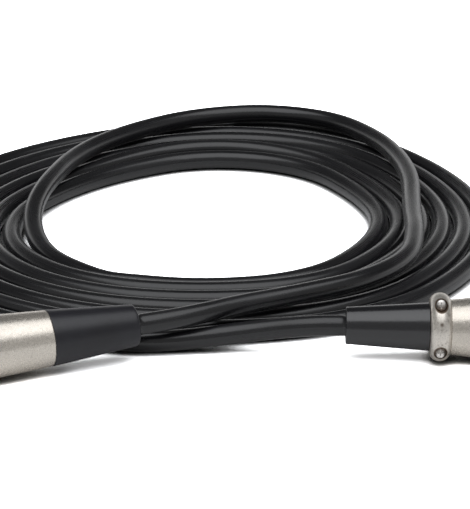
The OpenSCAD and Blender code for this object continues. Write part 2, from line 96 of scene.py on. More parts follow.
class StageSizes(bpy.types.PropertyGroup):
    """The floor, the lights and the camera."""

    distance: length("Camera distance", "From the camera to the point it looks at", 1.0)
    elevation: FloatProperty(
        name="Camera elevation", description="Height of the camera above the horizon",
        default=math.radians(20), subtype="ANGLE", unit="ROTATION",
    )
    focal_pixels: FloatProperty(
        name="Focal length in pixels", description="Focal length over the size of a pixel",
        default=3080.0,
    )
    floor_size: length("Floor size", "Side of the square floor", 24.0)
    floor_colour: colour("Floor", "Colour of the floor", (0.86, 0.86, 0.86))
    floor_gain: FloatProperty(
        name="Floor gain", description="How much lighter the floor looks than it lights things",
        default=6.0, min=1.0,
    )
    floor_in_gloss: FloatProperty(
        name="Floor in gloss", description="The same where metal or gloss reflects the floor",
        default=1.05, min=1.0,
    )
    room_front: share("Room in front", "Brightness of the room on the camera's side", 0.36)
    room_back: share("Room behind", "Brightness of the room behind the object", 0.09)
    room_edge: share("Room's edge", "Brightness of the pale wall low down behind", 1.0)
    key_level: FloatProperty(
        name="Key level", description="Brightness of the large soft light overhead",
        default=1.6, min=0.0,
    )
    key_colour: colour("Key colour", "Colour of the light overhead", (0.96, 0.975, 1.0))


class Finishes(bpy.types.PropertyGroup):
    """Colours and gloss of the finishes."""

    jacket: colour("Jacket", "Colour of the cable's jacket", (0.0078, 0.0078, 0.0090))
    jacket_roughness: share("Jacket roughness", "Roughness of the jacket", 0.26)
    male_boot: colour("Male boot", "Colour of the male boot", (0.0025, 0.0025, 0.0040))
    female_boot: colour("Female boot", "Colour of the female boot", (0.009, 0.009, 0.0125))
    nickel: colour("Nickel", "Colour of the satin nickel shells", (0.70, 0.65, 0.58))
    clamp: colour("Clamp", "Colour of the clamp's two halves", (0.78, 0.735, 0.67))
    steel: colour("Steel", "Colour of the screws", (0.55, 0.54, 0.52))
    screw: colour("Screw heads", "Colour of the screw heads", (0.95, 0.92, 0.88))
    insert: colour("Insert", "Colour of the moulded inserts", (0.02, 0.02, 0.021))
    contact: colour("Contact", "Colour of the silvered contacts", (0.82, 0.80, 0.75))
    copper: colour("Shield", "Colour of the bare shield wire", (0.75, 0.42, 0.22))
    hot: colour("Hot wire", "Colour of the hot wire's insulation", (0.55, 0.03, 0.025))
    cold: colour("Cold wire", "Colour of the cold wire's insulation", (0.72, 0.72, 0.70))


# ---- The route of the cable ---------------------------------------------------------------

# The flat spiral: its middle, its radius at 12 even bearings, where it starts and its turns
COIL_CENTRE = (-7.3, 24.4)
COIL_SHAPE = (55.5, 55, 49, 47, 47.5, 53.5, 52.5, 46, 45, 49.5, 54, 56.5)
COIL_START = 0.9375
COIL_TURNS = 6
TURN_KNOTS = 24
# Strands that lie further out or in: the turn count there, and by how much
COIL_SHIFTS = (
    (1.25, 1.5), (1.55, 1), (2.25, 1), (2.5, 0.8), (3.3, 0.5), (4.75, -0.5), (5, 1),
    (5.15, 0.5), (5.3, -0.5), (5.75, 1), (6.1, 1.5), (6.3, -1), (6.75, 1), (7, 2.5),
)
SHIFT_SPAN = 0.2
# Strands that rise off the floor: the turn count there, the height, and the reach in turns
COIL_LIFTS = (
    (1.45, 0.4, 0.2), (2, 1.4, 0.3), (2.5, 2, 0.15), (3, 1.4, 0.3), (4, 1.3, 0.3),
    (4.4, 0.5, 0.2), (5, 1.1, 0.28), (6, 0.6, 0.25),
)
# The loop that lies on the spiral, from the female boot round to the spiral's start
LOOP_ON_TOP = (
    (-9.8, -84.1, 11.5), (4.2, -75.1, 11.4), (22.2, -65.9, 11.4), (42.7, -52.6, 11.4),
    (56.2, -33.1, 11.2), (60.2, -10.1, 11), (60.7, 9.9, 10.3), (61.2, 27.9, 10),
    (61.7, 46.9, 10.2), (59.2, 67.9, 10.3), (52.2, 90.4, 10.3), (37.2, 111.9, 10.3),
    (13.2, 121.4, 10.2), (-12.3, 115.9, 10.1), (-32.3, 100.4, 10.2), (-45.8, 83.4, 10.3),
    (-53.8, 66.4, 10.4), (-58.3, 50.4, 10.5), (-61.8, 35.9, 9.9), (-63.8, 21.4, 8.2),
    (-62.8, 6.4, 5.8), (-58.3, -8.6, 4.2), (-51.3, -19.6, 3.6),
)
# From the spiral's end up to the male boot
RUN_TO_MALE = (
    (-31.8, -83.4, 3.1), (-19.8, -84.4, 3.3), (-5.8, -83.9, 4.5), (8.7, -85.1, 6.9),
    (20.2, -87.9, 9.3),
)
# Points of the curve between two knots, the even step after it, and the bell that smooths it
KNOT_STEPS = 12
ROUTE_STEP = 1.0
ROUTE_BELL = 4

# ---- Stations along the connectors, from the cable's exit to the nose -----------------------
# _S is a station along the connector, _R a radius about its axis and _Z a height over it

# The boots are bored for a jacket of this radius, with this room round it
JACKET_R = 3.15
JACKET_FIT = 0.12
SHELL_R = 9.5

FEMALE_EXIT = (-26.8, -91.2, 11.17)
FEMALE_YAW = 199.7
FEMALE_BOOT_END = 26.7
SHOULDER_S = 72.2
FEMALE_LEN = 87.2
NOSE_R = 7.95
NOSE_BORE_R = 7.05

MALE_EXIT = (35.4, -90.1)
MALE_BOOT_END = 24.8
MALE_LEN = 75.9
MALE_BORE_R = 8.2
MALE_INSERT = (49.9, 59.9)
# The boot's collar behind the clamp, which keeps the boot in
COLLAR_S = 33.9

CLAMP_S = 27.85
CLAMP_R = 10.2
CLAMP_BORE_R = 4.75
CLAMP_TILT = 14.0
CLAMP_WIDTH = 6.1
CLAMP_CROWN = 1.9
# The two screws stand this far from the middle of the clamp, in a bore and a recess
CLAMP_SCREW_W = 7.0
SHANK_BORE_R = 1.35
RECESS_R = 1.75
# The small dent: how far from the middle, its radius, and its floor below the bead's top
DENT_W = 1.75
DENT_R = 0.45
DENT_FLOOR = 0.5

# Every screw's shank and hole, then the clamp screws' heads
SCREW_R = 1.25
SCREW_HOLE_R = 1.3
HEAD_R = 1.6
HEAD_TOP = 5.8
HEAD_DOME = 0.5
MALE_SCREW_S = 54.9
FEMALE_SCREW_S = 67.7

CONTACT_ANGLES = (45.0, 135.0, 270.0)
CONTACT_CIRCLE = 4.76
CONTACT_PLACES = tuple(
    (CONTACT_CIRCLE * math.cos(math.radians(a)), CONTACT_CIRCLE * math.sin(math.radians(a)))
    for a in CONTACT_ANGLES
)
CONTACT_R = 1.55
CUP_BORE_R = 1.0
PIN_R = 1.18
PIN_SEAT_R = 1.5
PIN_TIP_S = 74.1
PIN_CUP_S = 44.4
SOCKET_CUP_S = 53.7
SOCKET_BORE_R = 1.22

PIVOT_S, PIVOT_Z = 61.2, 6.35
SPRING_S = 66.2
LATCH_WIDTH = 3.5
LATCH_SLOT_Z = 3.438
BUTTON_TOP = 10.2
# How far across the latch's slot and its button's window reach, and where the window starts
HOOK_SLOT = (-2.15, 2.15)
BUTTON_SLOT = (-3.9, 3.9)
BUTTON_WINDOW_S = 62.9

# Columns of a turned surface: shells, inserts, plain rods, small turned pieces, grip grooves
SHELL_COLUMNS = 144
INSERT_COLUMNS = 128
ROD_COLUMNS = 64
SMALL_COLUMNS = 48
GROOVE_COLUMNS = 32

# Rounding of a corner that gives none, the points of each, and the least way between two
CORNER_EASE = 0.12
CORNER_POINTS = 5
CORNER_APART = 1e-5
# A bevel takes the edges that are sharper than this, in degrees
EDGE_ANGLE = 40.0
EDGE_SEGMENTS = 2
# Points closer than this are one point, in metres
MERGE = 1e-7

FEMALE_PITCH = math.degrees(math.asin((FEMALE_EXIT[2] - SHELL_R) / SHOULDER_S))
MALE_PITCH = math.degrees(math.asin((CLAMP_R - SHELL_R) / (MALE_LEN - CLAMP_S)))
MALE_EXIT_Z = CLAMP_R * math.cos(math.radians(MALE_PITCH)) + CLAMP_S * math.sin(
    math.radians(MALE_PITCH)
)


def about(axis, degrees):
    """The turn by an angle about one of the three axes, as a matrix."""
    c, s = math.cos(math.radians(degrees)), math.sin(math.radians(degrees))
    i, j = {"x": (1, 2), "y": (2, 0), "z": (0, 1)}[axis]
    turn = np.eye(3)
    turn[i, i] = turn[j, j] = c
    turn[j, i], turn[i, j] = s, -s
    return turn


# Each column is one of a piece's own axes, where its X lies along the named axis
ALONG = {
    "x": np.eye(3),
    "y": np.array([[0, 0, 1], [1, 0, 0], [0, 1, 0]], float),
    "-y": np.array([[0, 1, 0], [-1, 0, 0], [0, 0, 1]], float),
    "z": np.array([[0, 1, 0], [0, 0, 1], [1, 0, 0]], float),
}


class Place:
    """A connector's own frame: its origin at the cable's exit and +X along to the nose.

    A point (s, y, z) in millimetres goes to the origin + turn times the point, in metres.
    """

    def __init__(self, origin, turn):
        self.origin = np.array(origin, float)
        self.turn = turn

    def __call__(self, points):
        return (np.asarray(points, float) @ self.turn.T + self.origin) * MM

    def at(self, centre, along="x", roll=0.0):
        """The frame of a piece on this one: its centre, where its X lies, its roll about that."""
        return Place(
            self.origin + self.turn @ np.array(centre, float),
            self.turn @ ALONG[along] @ about("x", roll),
        )


FEMALE = Place(FEMALE_EXIT, about("z", FEMALE_YAW) @ about("y", FEMALE_PITCH))
MALE = Place((*MALE_EXIT, MALE_EXIT_Z), about("y", MALE_PITCH))
CLAMP = MALE.at((0, 0, 0), roll=-CLAMP_TILT)


# ---- Curves and surfaces --------------------------------------------------------------------


def catmull_rom(a, b, c, d, f):
    """The curve from b to c at f from 0 to 1, where a and d are their neighbours.

    It is b + f/2 * (c - a + f * (2a - 5b + 4c - d + f * (3(b - c) + d - a))).
    """
    return b + 0.5 * f * (c - a + f * (2 * a - 5 * b + 4 * c - d + f * (3 * (b - c) + d - a)))


def spline(knots, steps):
    """A Catmull-Rom curve through the knots, with steps points for each stretch."""
    p = np.asarray(knots, float)
    a = np.vstack([2 * p[0] - p[1], p[:-2]])[:, None]
    b, c = p[:-1, None], p[1:, None]
    d = np.vstack([p[2:], 2 * p[-1] - p[-2]])[:, None]
    f = (np.arange(steps) / steps)[None, :, None]
    return np.vstack([catmull_rom(a, b, c, d, f).reshape(-1, 3), p[-1:]])


def even(points, step):
    """The same line with its points a step apart, found along its running length."""
    run = np.concatenate([[0], np.cumsum(np.linalg.norm(np.diff(points, axis=0), axis=1))])
    at = np.linspace(0, run[-1], max(2, int(round(run[-1] / step)) + 1))
    return np.stack([np.interp(at, run, points[:, k]) for k in range(3)], axis=1)


def smooth(points, reach):
    """A running mean of the line, weighted by a bell reach points wide; its ends stay put.

    Past each end the line goes on as its own mirror image through the end point.
    """
    k = np.arange(-3 * reach, 3 * reach + 1)
    bell = np.exp(-0.5 * (k / reach) ** 2)
    bell /= bell.sum()
    n = 3 * reach
    wide = np.vstack([
        2 * points[0] - points[n:0:-1], points, 2 * points[-1] - points[-2:-n - 2:-1]
    ])
    return np.stack([np.convolve(wide[:, i], bell, "valid") for i in range(3)], axis=1)


def bump_at(t, where, span):
    """A single wave: one half plus one half the cosine of its distance, nothing past span."""
    d = np.abs(t - where)
    return np.where(d < span, 0.5 + 0.5 * np.cos(np.pi * np.minimum(d, span) / span), 0.0)


def coil_line(t, diameter, pitch):
    """Centre line of the spiral at turn count t, in millimetres.

    The radius is a closed Catmull-Rom curve through COIL_SHAPE, plus pitch for each turn, plus
    the small shifts. The bearing is t turns, and the height is half a diameter plus the lifts.
    """
    n = len(COIL_SHAPE)
    shape = np.array(COIL_SHAPE, float)
    u = (t % 1.0) * n
    i = np.floor(u).astype(int)
    f = u - i
    r = catmull_rom(*(shape[(i + k) % n] for k in (-1, 0, 1, 2)), f)
    r = r + pitch * t + sum(out * bump_at(t, at, SHIFT_SPAN) for at, out in COIL_SHIFTS)
    z = diameter / 2 + sum(up * bump_at(t, at, span) for at, up, span in COIL_LIFTS)
    return np.stack([
        COIL_CENTRE[0] + r * np.sin(2 * np.pi * t), COIL_CENTRE[1] - r * np.cos(2 * np.pi * t), z
    ], axis=1)


def cable_line(diameter, lay_gap):
    """The whole centre line in metres: female exit, loop, spiral, run to the male exit."""
    t = COIL_START + np.arange(0, TURN_KNOTS * COIL_TURNS + 1) / TURN_KNOTS
    coil = coil_line(t, diameter, diameter + lay_gap)
    ahead = coil[0] - coil[1]
    behind = coil[-1] - coil[-2]
    coil_from = coil[0] + diameter * ahead / np.linalg.norm(ahead)
    coil_to = coil[-1] + diameter * behind / np.linalg.norm(behind)
    female = np.array(FEMALE_EXIT)
    male = MALE.origin
    knots = np.vstack([
        female, female - diameter * FEMALE.turn[:, 0], LOOP_ON_TOP, coil_from, coil, coil_to,
        RUN_TO_MALE, male - diameter * MALE.turn[:, 0], male,
    ])
    knots[:, 2] = np.maximum(knots[:, 2], diameter / 2)
    return smooth(even(spline(knots, KNOT_STEPS), ROUTE_STEP), ROUTE_BELL) * MM


def mesh_object(name, points, faces):
    """An object at the origin from points in metres and a list of faces."""
    mesh = bpy.data.meshes.new(name)
    mesh.from_pydata(points.tolist(), [], faces)
    mesh.update()
    obj = bpy.data.objects.new(name, mesh)
    bpy.context.scene.collection.objects.link(obj)
    return obj


def closed(obj, change):
    """Makes a change that closes a piece's mesh, then turns its faces outward."""
    work = bmesh.new()
    work.from_mesh(obj.data)
    change(work)
    bmesh.ops.recalc_face_normals(work, faces=work.faces)
    work.to_mesh(obj.data)
    work.free()
    return obj


def grid_faces(rows, columns, wrap_rows=False, wrap_columns=False):
    """Quads of a grid of rows x columns points, each seen with its corners anticlockwise."""
    i = np.arange(rows if wrap_rows else rows - 1)[:, None]
    j = np.arange(columns if wrap_columns else columns - 1)[None, :]
    k, m = (i + 1) % rows, (j + 1) % columns
    at = lambda a, b: (a * columns + b).ravel()
    return np.stack([at(i, j), at(k, j), at(k, m), at(i, m)], axis=1)


def tube_object(name, line, radius, sides):
    """A round tube along a line, with a closed flat disc at each end.

    Ring i stands square to the line at point i: its points are the line's point plus radius
    times (cosine of the angle * side + sine of the angle * up), where side is the direction
    crossed with the vertical, and up is side crossed with the direction. The UV map runs in
    metres along the line and round the ring.
    """
    direction = np.gradient(line, axis=0)
    direction /= np.linalg.norm(direction, axis=1)[:, None]
    side = np.cross(direction, [0, 0, 1.0])
    side /= np.linalg.norm(side, axis=1)[:, None]
    up = np.cross(side, direction)
    angle = 2 * np.pi * np.arange(sides) / sides - np.pi / 2
    ring = (
        np.cos(angle)[None, :, None] * side[:, None] + np.sin(angle)[None, :, None] * up[:, None]
    )
    points = (line[:, None] + radius * ring).reshape(-1, 3)
    n = len(line)
    faces = grid_faces(n, sides, wrap_columns=True)[:, ::-1]
    run = np.concatenate([[0], np.cumsum(np.linalg.norm(np.diff(line, axis=0), axis=1))])
    i = np.repeat(np.arange(n - 1), sides)
    j = np.tile(np.arange(sides), n - 1)
    around = 2 * np.pi * radius / sides
    uv = np.stack([
        np.stack([run[i], around * (j + 1)], 1), np.stack([run[i + 1], around * (j + 1)], 1),
        np.stack([run[i + 1], around * j], 1), np.stack([run[i], around * j], 1),
    ], axis=1)
    points = np.vstack([points, line[0], line[-1]])
    k = np.arange(sides)
    m = (k + 1) % sides
    last = (n - 1) * sides
    caps = np.vstack([
        np.stack([k, m, np.full(sides, len(points) - 2)], 1),
        np.stack([last + m, last + k, np.full(sides, len(points) - 1)], 1),
    ])
    obj = mesh_object(name, points, faces.tolist() + caps.tolist())
    layer = obj.data.uv_layers.new(name="UVMap")
    cap_uv = np.zeros((len(caps) * 3, 2))
    layer.data.foreach_set(
        "uv", np.vstack([uv.reshape(-1, 2), cap_uv]).astype(np.float32).ravel()
    )
    obj.data.shade_smooth()
    return obj


def eased(*corners):
    """A closed outline with its corners rounded off.

    A corner is its station, its radius and the length e that the rounding takes off each edge,
    CORNER_EASE where none is given and at most 0.28 of either edge. With u and v the unit
    vectors to the corners before and after it, the rounding runs through the corner + e *
    ((1 - t) squared * u + t squared * v) for t from 0 to 1. A point on each edge at 1.7 e
    holds the flat beside it flat. Points that fall together are dropped.
    """
    table = np.array([(*corner, CORNER_EASE)[:3] for corner in corners], float)
    p = table[:, None, :2]
    u, v = np.roll(p, 1, axis=0) - p, np.roll(p, -1, axis=0) - p
    lengths = [np.linalg.norm(w, axis=2, keepdims=True) for w in (u, v)]
    u, v = u / lengths[0], v / lengths[1]
    e = np.minimum(table[:, 2, None, None], 0.28 * np.minimum(*lengths))
    t = np.linspace(0, 1, CORNER_POINTS)[None, :, None]
    rounding = p + e * ((1 - t) ** 2 * u + t ** 2 * v)
    line = np.concatenate([p + 1.7 * e * u, rounding, p + 1.7 * e * v], axis=1).reshape(-1, 2)
    apart = np.linalg.norm(line - np.roll(line, 1, axis=0), axis=1)
    return line[apart > CORNER_APART]


def turned(name, place, outline, columns):
    """A closed outline turned once about the place's own X.

    Outline point (s, r) at angle a goes to station s, r times the cosine of a across and r
    times the sine of a up.
    """
    s, r = outline[:, :1], outline[:, 1:]
    a = 2 * np.pi * np.arange(columns) / columns
    grid = np.stack([s + 0 * a, r * np.cos(a), r * np.sin(a)], axis=-1).reshape(-1, 3)
    faces = grid_faces(len(outline), columns, True, True).tolist()
    obj = closed(
        mesh_object(name, place(grid), faces),
        lambda work: bmesh.ops.remove_doubles(work, verts=work.verts, dist=MERGE),
    )
    obj.data.shade_smooth()
    return obj


def rod(place, length, radius, columns=ROD_COLUMNS):
    """A plain round rod from the place's origin along its X."""
    outline = np.array([(0, 0), (length, 0), (length, radius), (0, radius)], float)
    return turned("rod", place, outline, columns)


def prism(place, outline, low, high):
    """A flat outline of stations and heights carried across, from low to high."""
    edge = np.array(outline, float)
    n = len(edge)
    points = np.vstack([
        np.stack([edge[:, 0], np.full(n, y), edge[:, 1]], axis=1) for y in (low, high)
    ])
    return closed(
        mesh_object("prism", place(points), grid_faces(2, n, False, True).tolist()),
        lambda work: bmesh.ops.holes_fill(work, edges=work.edges, sides=0),
    )


def block(place, s, y, z):
    """A plain block between two stations, two places across and two heights."""
    return prism(place, [(s[0], z[0]), (s[1], z[0]), (s[1], z[1]), (s[0], z[1])], *y)


def combine(obj, operation, *others):
    """Cuts the others out of a piece, joins them to it or keeps what lies in them."""
    for other in others:
        step = obj.modifiers.new(operation, "BOOLEAN")
        step.operation, step.object, step.solver = operation, other, "EXACT"
    bpy.context.view_layer.update()
    made = bpy.data.meshes.new_from_object(
        obj.evaluated_get(bpy.context.evaluated_depsgraph_get())
    )
    obj.modifiers.clear()
    obj.data = made
    made.name = obj.name
    for other in others:
        bpy.data.meshes.remove(other.data)
    return obj


def soften(obj, width):
    """Rounds off the edges sharper than EDGE_ANGLE degrees and shades the rest smooth."""
    angle = math.radians(EDGE_ANGLE)
    obj.data.shade_smooth()
    obj.data.set_sharp_from_angle(angle=angle)
    bevel = obj.modifiers.new("soft_edges", "BEVEL")
    bevel.width, bevel.segments = width * MM, EDGE_SEGMENTS
    bevel.limit_method, bevel.angle_limit = "ANGLE", angle
    bevel.harden_normals = True
    return obj


# ---- Materials -------------------------------------------------------------------------------


class Nodes:
    """A node tree and the short calls that add to it."""

    def __init__(self, tree):
        self.tree = tree

    def add(self, kind):
        """A new shader node of a kind, such as Math."""
        return self.tree.nodes.new("ShaderNode" + kind)

    def feed(self, socket, value):
        """Gives an input its number, colour or vector, or links another node's output to it."""
        if isinstance(value, bpy.types.NodeSocket):
            self.tree.links.new(value, socket)
        else:
            socket.default_value = value

    def remap(self, value, low, high, to_low, to_high):
        """Carries low over to to_low and high to to_high, along a smooth step."""
        node = self.add("MapRange")
        node.interpolation_type = "SMOOTHSTEP"
        for key, given in zip(
            ("Value", "From Min", "From Max", "To Min", "To Max"),
            (value, low, high, to_low, to_high),
        ):
            self.feed(node.inputs[key], given)
        return node.outputs["Result"]

    def math(self, operation, a, b):
        """One operation on two numbers."""
        node = self.add("Math")
        node.operation = operation
        for socket, value in zip(node.inputs, (a, b)):
            self.feed(socket, value)
        return node.outputs["Value"]

    def vector(self, operation, *values):
        """A vector operation; LENGTH gives a number, and the others a vector."""
        node = self.add("VectorMath")
        node.operation = operation
        for socket, value in zip(node.inputs, values):
            self.feed(socket, value)
        return node.outputs["Value" if operation == "LENGTH" else "Vector"]


class Finish(Nodes):
    """A Principled material and the short calls that add its nodes."""

    def __init__(self, name, coordinates="Object"):
        self.material = bpy.data.materials.new(name)
        self.material.use_nodes = True
        super().__init__(self.material.node_tree)
        self.shader = self.tree.nodes["Principled BSDF"]
        self.coords = self.add("TexCoord").outputs[coordinates]

    def set(self, **values):
        for key, value in values.items():
            self.shader.inputs[key.replace("_", " ")].default_value = value

    def link(self, value, key):
        self.tree.links.new(value, self.shader.inputs[key])

    def source(self, key):
        """The socket that one of the shader's inputs is linked to."""
        return self.shader.inputs[key].links[0].from_socket

    def mapping(self, scale):
        node = self.add("Mapping")
        node.inputs["Scale"].default_value = scale
        self.tree.links.new(self.coords, node.inputs["Vector"])
        return node.outputs["Vector"]

    def noise(self, scale, detail=3.0, rough=0.5, vector=None):
        node = self.add("TexNoise")
        node.inputs["Scale"].default_value = scale
        node.inputs["Detail"].default_value = detail
        node.inputs["Roughness"].default_value = rough
        self.tree.links.new(vector or self.coords, node.inputs["Vector"])
        return node.outputs["Fac"]

    def blend(self, factor, a, b):
        """Mixes two colours by a factor; each may be a colour or a socket."""
        node = self.add("Mix")
        node.data_type = "RGBA"
        self.tree.links.new(factor, node.inputs["Factor"])
        for key, value in (("A", a), ("B", b)):
            socket = next(s for s in node.inputs if s.name == key and s.type == "RGBA")
            linked = isinstance(value, bpy.types.NodeSocket)
            self.feed(socket, value if linked else (*value, 1.0))
        return next(s for s in node.outputs if s.type == "RGBA")

    def bump(self, height, strength, distance):
        node = self.add("Bump")
        node.inputs["Strength"].default_value = strength
        node.inputs["Distance"].default_value = distance
        self.tree.links.new(height, node.inputs["Height"])
        self.link(node.outputs["Normal"], "Normal")


def tint(base, factor):
    """A colour times a factor, kept within 0 and 1."""
    return tuple(min(1.0, c * factor) for c in base)


def moulded(name, base, roughness, depth=0.00003, gloss=0.5):
    """Moulded or extruded plastic: slow changes of tone over a fine grain.

    A slow noise moves the tone between 0.85 and 1.3 of the base, and a fine one moves the
    roughness 0.05 either way and lifts the surface.
    """
    f = Finish(name)
    slow = f.remap(f.noise(70.0, 3.0), 0.35, 0.65, 0, 1)
    fine = f.noise(2600.0, 2.0)
    f.link(f.blend(slow, tint(base, 0.85), tint(base, 1.3)), "Base Color")
    f.link(f.remap(fine, 0.3, 0.7, roughness - 0.05, roughness + 0.05), "Roughness")
    f.bump(fine, 0.25, depth)
    f.set(Specular_IOR_Level=gloss)
    return f


def satin_metal(name, base, roughness, grain=3600.0, depth=0.00004, dark=0.8, grit=0.35):
    """Plated metal with a fine, faintly sparkling grain and slow changes of tone.

    A fine noise lifts the surface and darkens its specks, a coarser one roughens it, and a
    slow one moves its tone between 0.92 and 1.05 of the base.
    """
    f = Finish(name)
    slow = f.noise(55.0, 4.0)
    mottle = f.noise(grain / 3.2, 2.0, 0.6)
    fine = f.noise(grain, 3.0, 0.65)
    tone = f.blend(f.remap(slow, 0.35, 0.68, 0, 1), tint(base, 0.92), tint(base, 1.05))
    f.link(f.blend(f.remap(fine, 0.36, 0.50, 0, 1), tint(base, dark), tone), "Base Color")
    f.link(f.remap(mottle, 0.3, 0.7, roughness - 0.05, roughness + 0.07), "Roughness")
    f.bump(f.math("ADD", f.math("MULTIPLY", mottle, 0.8), fine), grit, depth)
    f.set(Metallic=0.82)
    return f


# Where painted shade and brown tarnish darken the clamp's hollows: the height over its middle,
# the distance from a hole's axis at which it begins to thin and at which it is gone, and how
# thick it is
HOLLOW_SHADE_AND_TARNISH = (
    (-CLAMP_SCREW_W, 1.85, 2.25, 1), (CLAMP_SCREW_W, 1.85, 2.25, 1), (DENT_W, 0.1, 1, 0.75)
)
SHADE_AND_TARNISH_COLOUR = (0.105, 0.070, 0.045)


def clamp_metal(name, base, roughness):
    """The clamp's satin nickel, with painted shade and brown tarnish darkening the two screw
    recesses and the dent.

    The painted shade and tarnish follow the distance from a hole's axis: the length of the
    cross product of the axis and the way from a point of it. Thinner tarnish spots come from
    a coarse noise.
    """
    f = satin_metal(name, base, roughness, grain=3000.0, depth=0.00006, dark=0.7, grit=0.5)
    near = 0
    # Painted shade and brown tarnish, darkest round each screw recess and in the dent
    for w, full, gone, most in HOLLOW_SHADE_AND_TARNISH:
        away = f.vector("SUBTRACT", f.coords, CLAMP([(CLAMP_S, 0, w)])[0].tolist())
        distance = f.vector("LENGTH", f.vector("CROSS_PRODUCT", away, CLAMP.turn[:, 1].tolist()))
        near = f.math("MAXIMUM", near, f.remap(distance, full * MM, gone * MM, most, 0))
    spots = f.remap(f.noise(420.0, 4.0, 0.6), 0.52, 0.72, 0, 0.55)
    # The painted shade in the hollows and the tarnish spots, mixed into the colour as brown
    shade_and_tarnish = f.math("MAXIMUM", near, spots)
    f.link(f.blend(shade_and_tarnish, f.source("Base Color"), SHADE_AND_TARNISH_COLOUR), "Base Color")
    rougher = f.math("MULTIPLY", shade_and_tarnish, 0.18)
    f.link(f.math("ADD", f.source("Roughness"), rougher), "Roughness")
    return f


def jacket_skin(name, base, roughness):
    """Soft black jacket: faint lines along the extrusion, a fine grain, slow handling marks.

    The UV map is metres along the cable and round it. The lines are a noise drawn out along
    it, and the marks move the tone between 0.85 and 1.25 of the base.
    """
    f = Finish(name, "UV")
    lines = f.noise(1.0, 3.0, vector=f.mapping((60.0, 2400.0, 1.0)))
    fine = f.noise(1.0, 2.0, vector=f.mapping((2200.0, 2200.0, 1.0)))
    slow = f.noise(1.0, 3.0, vector=f.mapping((28.0, 90.0, 1.0)))
    marks = f.remap(slow, 0.35, 0.65, 0, 1)
    f.link(f.blend(marks, tint(base, 0.85), tint(base, 1.25)), "Base Color")
    rough = f.remap(slow, 0.3, 0.7, roughness - 0.05, roughness + 0.05)
    f.link(f.math("ADD", rough, f.remap(lines, 0.3, 0.7, -0.03, 0.03)), "Roughness")
    f.bump(f.math("ADD", f.math("MULTIPLY", lines, 0.6), fine), 0.3, 0.00004)
    f.set(Specular_IOR_Level=0.6, Sheen_Weight=0.09, Sheen_Roughness=0.3)
    return f


# A kind of piece: its material's name, the function that makes it, its colour among the
# finishes, its roughness, and what differs from that function's own values
KINDS = {
    "nickel": ("satin_nickel", satin_metal, "nickel", 0.27, {}),
    "clamp": ("clamp_nickel", clamp_metal, "clamp", 0.33, {}),
    "steel": ("pin_steel", satin_metal, "steel", 0.34, {}),
    "screw": (
        "screw_steel", satin_metal, "screw", 0.42,
        {"grain": 2400.0, "depth": 0.00012, "dark": 0.6, "grit": 0.8},
    ),
    "contact": ("contact_silver", satin_metal, "contact", 0.25, {}),
    "copper": ("shield_copper", satin_metal, "copper", 0.35, {}),
    "insert": ("insert_moulding", moulded, "insert", 0.45, {}),
    "male_boot": (
        "male_boot_moulding", moulded, "male_boot", 0.22, {"depth": 0.00001, "gloss": 0.85}
    ),
    "female_boot": ("female_boot_rubber", moulded, "female_boot", 0.36, {}),
    "jacket": ("jacket_stub", moulded, "jacket", 0.42, {}),
    "hot": ("hot_insulation", moulded, "hot", 0.4, {}),
    "cold": ("cold_insulation", moulded, "cold", 0.4, {}),
}

# Solids that keep their own mesh
NODE_KINDS = {
    "female_latch_pin": "steel", "female_latch_spring": "steel", "female_chuck": "insert",
    "male_cable_end": "jacket", "female_cable_end": "jacket",
    **{f"{end}_wire_shield": "copper" for end in ("male", "female")},
    **{f"{end}_wire_hot": "hot" for end in ("male", "female")},
    **{f"{end}_wire_cold": "cold" for end in ("male", "female")},
}


def finish_for(kind):
    """The material for a kind of piece, made the first time it is asked for."""
    name, maker, colour_key, roughness, more = KINDS[kind]
    base = tuple(getattr(bpy.context.scene.cable_finishes, colour_key))
    return bpy.data.materials.get(name) or maker(name, base, roughness, **more).material


def wear(obj, material):
    """Gives a piece one material in place of any it had."""
    obj.data.materials.clear()
    obj.data.materials.append(material)


def stand_for(obj, kind, slot, *nodes, body="cable"):
    """Gives a made piece its finish, and its place among the solids that it stands for."""
    wear(obj, finish_for(kind))
    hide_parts(*nodes)
    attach(obj, body)


# ---- Operators -----------------------------------------------------------------------------

# What the camera looks at and its sensor's width, in millimetres
CAMERA_TARGET = (2.7, 0.4, 0.0)
SENSOR_WIDTH = 36.0
# The nearest and furthest that the camera sees, in metres
CLIP_RANGE = (0.01, 100.0)
# The light overhead, in metres: where it hangs, and its width and depth
KEY_PLACE = (0.0, -0.37, 1.02)
KEY_SIZE = (1.6, 1.3)
# The room's edges, as parts of a direction's length: upward, and away from the camera
WALL_HEIGHTS = (0.12, 0.36)
ROOM_DEPTHS = (-0.25, 0.25)
# Painted contact shadows on the floor: how far round a point of the floor the room is looked
# for, in metres, the open share at which the floor is darkest and the one at which it is clear,
# and its darkest
PAINTED_CONTACT_SHADOWS = ((0.012, 0.10, 0.34, 0.02), (0.0032, 0.35, 1.0, 0.15))
CONTACT_SAMPLES = 12


